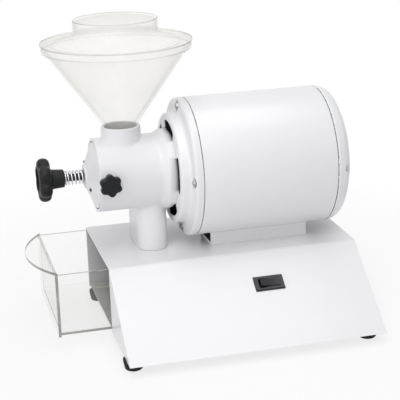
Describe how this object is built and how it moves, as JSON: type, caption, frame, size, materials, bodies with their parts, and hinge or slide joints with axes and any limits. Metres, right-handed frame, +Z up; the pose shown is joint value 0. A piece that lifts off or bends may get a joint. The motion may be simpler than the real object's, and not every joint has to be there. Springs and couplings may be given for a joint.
{
  "type": "electric coffee grinder",
  "caption": "Electric burr coffee grinder with a horizontal motor on a sheet-metal base, a clear hopper with lid, a grind adjusting knob, a rocker switch and a clear drawer.",
  "frame": {"origin": "on the table, under the middle of the whole machine's box with the drawer as pictured", "axes": "+X from the adjusting knob to the motor, +Y from the sloping front to the back, +Z up"},
  "size_m": [0.361, 0.249, 0.3435],
  "materials": {
    "white_paint": "gloss white enamel",
    "grey_sheet": "satin",
    "steel": "bright zinc",
    "dark_steel": "blackened",
    "black_plastic": "satin",
    "switch_plastic": "semi-gloss",
    "clear_plastic": "clear polished",
    "nylon": "natural",
    "foot_rubber": "matte",
    "seal_rubber": "matte",
    "capacitor_case": "smooth",
    "lamination": "varnished",
    "copper_winding": "varnished",
    "fan_plastic": "moulded",
    "cast_alloy": "as cast",
    "burr_steel": "hardened"
  },
  "bodies": {
    "machine": {"base_shell": "white_paint", "back_panel": "white_paint", "base_plate": "grey_sheet", "bay_partition": "grey_sheet", "drawer_runners": "nylon", "feet": "foot_rubber", "foot_screws": "steel", "base_screws": "steel", "cord_gland": "black_plastic", "switch_body": "switch_plastic", "capacitor": "capacitor_case", "capacitor_clamp": "steel", "motor_cradle": "white_paint", "cradle_bolts": "steel", "motor_shell": "white_paint", "front_end_shield": "white_paint", "rear_end_shield": "white_paint", "tie_rods": "steel", "tie_nuts": "steel", "stator_core": "lamination", "stator_windings": "copper_winding", "front_bearing": "steel", "rear_bearing": "steel", "shaft_seal": "seal_rubber", "grinder_body": "white_paint", "body_bolts": "steel"},
    "rotor": {"motor_shaft": "steel", "rotor_core": "lamination", "cooling_fan": "fan_plastic", "rotating_burr": "burr_steel", "feed_screw": "cast_alloy", "feed_nut": "steel"},
    "cover": {"front_cover": "white_paint", "guide_screws": "dark_steel", "adjuster_spring": "steel"},
    "carrier": {"burr_carrier": "cast_alloy", "fixed_burr": "burr_steel", "burr_screws": "steel"},
    "adjuster": {"adjusting_screw": "steel", "screw_clip": "steel", "adjusting_knob": "black_plastic"},
    "clamp": {"clamp_knob": "black_plastic", "clamp_stud": "steel"},
    "hopper_body": {"hopper": "clear_plastic"},
    "lid": {"hopper_lid": "clear_plastic"},
    "drawer": {"drawer_floor": "clear_plastic", "drawer_near_wall": "clear_plastic", "drawer_far_wall": "clear_plastic", "drawer_back": "clear_plastic", "drawer_front": "clear_plastic", "drawer_handle": "clear_plastic"},
    "rocker": {"switch_rocker": "switch_plastic"}
  },
  "joints": [
    {"name": "drawer_slide", "type": "slide", "parent": "machine", "child": "drawer", "axis": [-1, 0, 0], "range_m": [-0.0545, 0.095]},
    {"name": "hopper_lift", "type": "slide", "parent": "machine", "child": "hopper_body", "axis": [0, 0, 1], "range_m": [0, 0.06]},
    {"name": "lid_lift", "type": "slide", "parent": "hopper_body", "child": "lid", "axis": [0, 0, 1], "range_m": [0, 0.08]},
    {"name": "cover_pull", "type": "slide", "parent": "machine", "child": "cover", "axis": [-1, 0, 0], "range_m": [0, 0.07]},
    {"name": "grind_adjust", "type": "slide", "parent": "cover", "child": "carrier", "axis": [1, 0, 0], "range_m": [-0.0025, 0.0004], "deforming": ["adjuster_spring"]},
    {"name": "adjuster_turn", "type": "hinge", "parent": "carrier", "child": "adjuster", "pos_m": [-0.1405, 0.034, 0.1735], "axis": [1, 0, 0], "range_deg": [-601, 97]},
    {"name": "clamp_turn", "type": "hinge", "parent": "machine", "child": "clamp", "pos_m": [-0.0906, -0.0165, 0.1735], "axis": [0, -1, 0], "range_deg": [-720, 20]},
    {"name": "rotor_spin", "type": "hinge", "parent": "machine", "child": "rotor", "pos_m": [-0.0005, 0.034, 0.1735], "axis": [1, 0, 0], "continuous": true},
    {"name": "rocker_tilt", "type": "hinge", "parent": "machine", "child": "rocker", "pos_m": [0.068, -0.06021, 0.05929], "axis": [0, 0.798, 0.6026], "range_deg": [-14, 0]}
  ],
  "couplings": [
    {"joint": "adjuster_turn", "follows": "grind_adjust", "rad_per_m": 4188.8}
  ]
}
